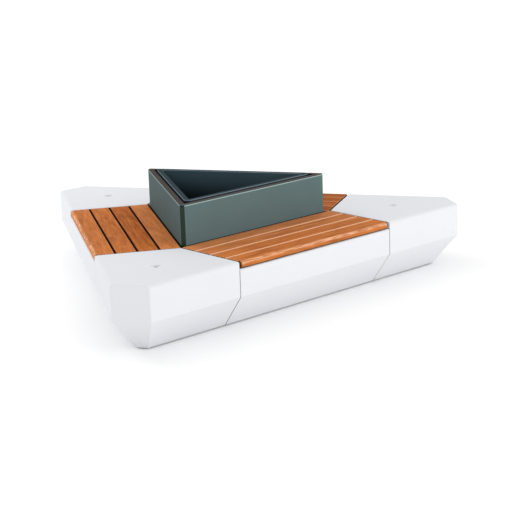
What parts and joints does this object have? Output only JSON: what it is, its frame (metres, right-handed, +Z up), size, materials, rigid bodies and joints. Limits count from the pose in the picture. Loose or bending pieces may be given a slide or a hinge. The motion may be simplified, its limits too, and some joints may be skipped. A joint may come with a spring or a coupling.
{
  "type": "bench with planter",
  "caption": "Triangular public bench of cast-stone blocks with blunt sloped corners, slatted timber seats on each side, and a raised steel planter in the middle with a lift-out liner.",
  "frame": {"origin": "centre of the bench's outline on the ground, under the bearing pads", "axes": "+X along the front side, to the right for a person who faces the front; +Y from the front side towards the rear corner; +Z up"},
  "size_m": [3.0818, 2.673, 0.732],
  "materials": {
    "cast_stone": "fine smooth cast, sealed, white",
    "seat_timber": "oiled hardwood, planed",
    "casing_paint": "fine-texture powder coat, grey green",
    "post_paint": "powder coat, dark green grey",
    "liner_paint": "powder coat, blue grey",
    "galvanised_steel": "hot-dip galvanised",
    "stainless_steel": "plain stainless fasteners and dowels",
    "bearing_rubber": "moulded black rubber",
    "drain_plastic": "moulded black polypropylene"
  },
  "bodies": {
    "bench": {"corner_block_front_right": "cast_stone", "corner_block_rear": "cast_stone", "corner_block_front_left": "cast_stone", "side_block_front": "cast_stone", "side_block_right": "cast_stone", "side_block_left": "cast_stone", "seat_board_front_1": "seat_timber", "seat_board_front_2": "seat_timber", "seat_board_front_3": "seat_timber", "seat_board_front_4": "seat_timber", "seat_board_right_1": "seat_timber", "seat_board_right_2": "seat_timber", "seat_board_right_3": "seat_timber", "seat_board_right_4": "seat_timber", "seat_board_left_1": "seat_timber", "seat_board_left_2": "seat_timber", "seat_board_left_3": "seat_timber", "seat_board_left_4": "seat_timber", "seat_bearer_front_1": "galvanised_steel", "seat_bearer_front_2": "galvanised_steel", "seat_bearer_front_3": "galvanised_steel", "seat_bearer_right_1": "galvanised_steel", "seat_bearer_right_2": "galvanised_steel", "seat_bearer_right_3": "galvanised_steel", "seat_bearer_left_1": "galvanised_steel", "seat_bearer_left_2": "galvanised_steel", "seat_bearer_left_3": "galvanised_steel", "planter_panel_front": "casing_paint", "planter_panel_right": "casing_paint", "planter_panel_left": "casing_paint", "planter_post_front_right": "post_paint", "planter_post_rear": "post_paint", "planter_post_front_left": "post_paint", "planter_base_rail_front": "galvanised_steel", "planter_base_rail_right": "galvanised_steel", "planter_base_rail_left": "galvanised_steel", "liner_bracket_front_right": "galvanised_steel", "liner_bracket_rear": "galvanised_steel", "liner_bracket_front_left": "galvanised_steel", "lifting_socket_front_right": "galvanised_steel", "lifting_socket_rear": "galvanised_steel", "lifting_socket_front_left": "galvanised_steel", "board_screws": "stainless_steel", "bearer_anchors": "stainless_steel", "joint_dowels": "stainless_steel", "panel_nuts": "stainless_steel", "levelling_feet": "stainless_steel", "levelling_nuts": "stainless_steel", "planter_tie_bolts": "stainless_steel", "planter_tie_sleeves": "stainless_steel", "joint_spacers": "bearing_rubber", "corner_bearing_pads": "bearing_rubber", "side_bearing_pads": "bearing_rubber"},
    "liner": {"planter_liner": "liner_paint", "drain_fitting": "drain_plastic", "drain_nut": "drain_plastic"}
  },
  "joints": [
    {"name": "liner_lift", "type": "slide", "parent": "bench", "child": "liner", "axis": [0, 0, 1], "range_m": [0, 0.5]}
  ]
}
